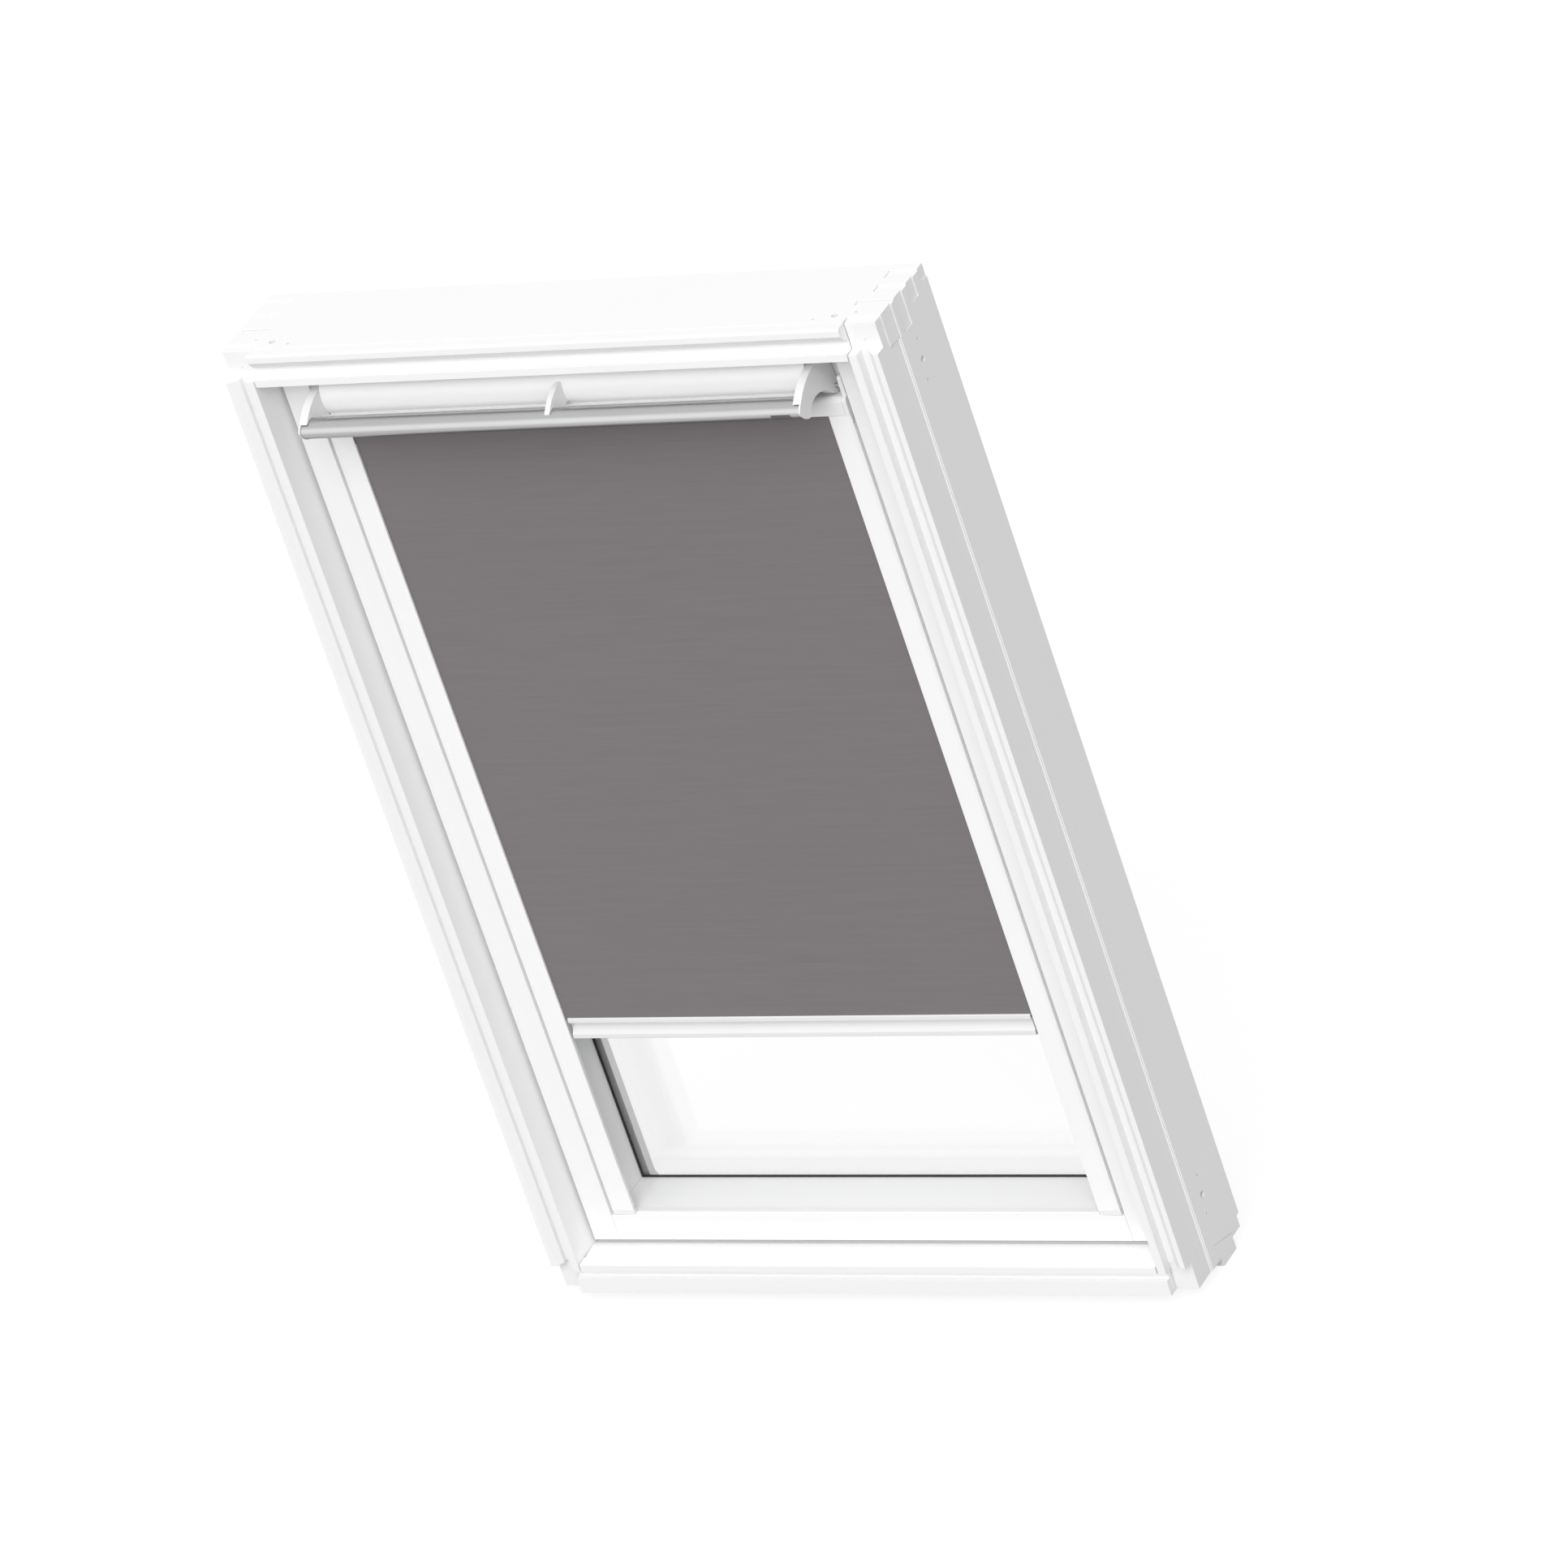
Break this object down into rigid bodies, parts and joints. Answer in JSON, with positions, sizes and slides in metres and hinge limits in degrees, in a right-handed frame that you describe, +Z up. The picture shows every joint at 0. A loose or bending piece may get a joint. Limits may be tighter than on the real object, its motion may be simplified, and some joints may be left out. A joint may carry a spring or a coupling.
{
  "type": "skylight window blind",
  "caption": "White centre-pivot roof window with a grey blackout roller blind in side channels, a ventilation flap and a control bar.",
  "frame": {"origin": "under the middle of the window, at the height of the sill's drip nose, halfway between the control bar's nose and the frame's weather side", "axes": "+Z up along the window's height, +X to the right seen from the room, +Y outward from the room to the weather"},
  "size_m": [0.78, 0.1582, 1.1885],
  "materials": {
    "white_frame": "white lacquer, satin",
    "white_casing": "white moulding, satin",
    "white_aluminium": "white powder coat",
    "brushed_aluminium": "anodised, brushed lengthwise",
    "zinc_steel": "zinc plated",
    "black_seal": "matt",
    "glass": "clear",
    "grey_plastic": "fine grain",
    "grey_cloth": "blackout cloth, plain weave",
    "painted_aluminium": "dark grey lacquer"
  },
  "bodies": {
    "frame": {"frame_head": "white_frame", "frame_sill": "white_frame", "frame_side_left": "white_frame", "frame_side_right": "white_frame", "seal_left": "black_seal", "seal_right": "black_seal", "seal_head": "black_seal", "seal_sill": "black_seal", "frame_pivot_left": "zinc_steel", "frame_pivot_right": "zinc_steel", "latch_keeper": "zinc_steel"},
    "sash": {"stile_left": "white_frame", "stile_right": "white_frame", "top_rail": "white_frame", "bottom_rail": "white_frame", "inner_pane": "glass", "outer_pane": "glass", "glass_spacer": "zinc_steel", "glazing_gasket": "black_seal", "cover_left": "painted_aluminium", "cover_right": "painted_aluminium", "cover_top": "painted_aluminium", "cover_bottom": "painted_aluminium", "sash_pivot_left": "zinc_steel", "sash_pivot_right": "zinc_steel", "pivot_bush_left": "grey_plastic", "pivot_bush_right": "grey_plastic", "lock_case": "zinc_steel", "blind_casing": "white_aluminium", "casing_cap_left": "white_casing", "casing_cap_right": "white_casing", "flap_pin_left": "zinc_steel", "flap_pin_right": "zinc_steel", "channel_left": "white_aluminium", "channel_right": "white_aluminium", "channel_foot_left": "white_casing", "channel_foot_right": "white_casing", "catch_strip": "white_casing", "spring_shaft": "zinc_steel", "return_spring": "zinc_steel", "idle_pin": "zinc_steel", "blackout_cloth": "grey_cloth"},
    "flap": {"vent_flap": "white_casing", "flap_seal": "black_seal", "bracket_left": "white_casing", "bracket_middle": "white_casing", "bracket_right": "white_casing", "control_bar": "brushed_aluminium"},
    "bolt": {"latch_bolt": "zinc_steel"},
    "puller": {"pull_bar": "brushed_aluminium", "glide_left": "grey_plastic", "glide_right": "grey_plastic"},
    "roller": {"roller_tube": "brushed_aluminium", "wound_cloth": "grey_cloth", "roller_plug_left": "grey_plastic", "roller_plug_right": "grey_plastic"}
  },
  "joints": [
    {"name": "sash_pivot", "type": "hinge", "parent": "frame", "child": "sash", "pos_m": [0, 0.02445, 0.5994], "axis": [1, 0, 0], "range_deg": [0, 160]},
    {"name": "flap_tilt", "type": "hinge", "parent": "sash", "child": "flap", "pos_m": [0, -0.00155, 1.0985], "axis": [1, 0, 0], "range_deg": [0, 25]},
    {"name": "bolt_slide", "type": "slide", "parent": "sash", "child": "bolt", "axis": [0, 0, 1], "range_m": [-0.0085, 0]},
    {"name": "pull_slide", "type": "slide", "parent": "sash", "child": "puller", "axis": [0, 0, 1], "range_m": [-0.22, 0.715], "deforming": ["blackout_cloth"]},
    {"name": "roller_turn", "type": "hinge", "parent": "sash", "child": "roller", "pos_m": [0, 0.0023, 1.0745], "axis": [1, 0, 0], "range_deg": [-3700, 1150]}
  ],
  "couplings": [
    {"joint": "bolt_slide", "follows": "flap_tilt", "m_per_rad": -0.0183},
    {"joint": "roller_turn", "follows": "pull_slide", "rad_per_m": -89.3}
  ]
}
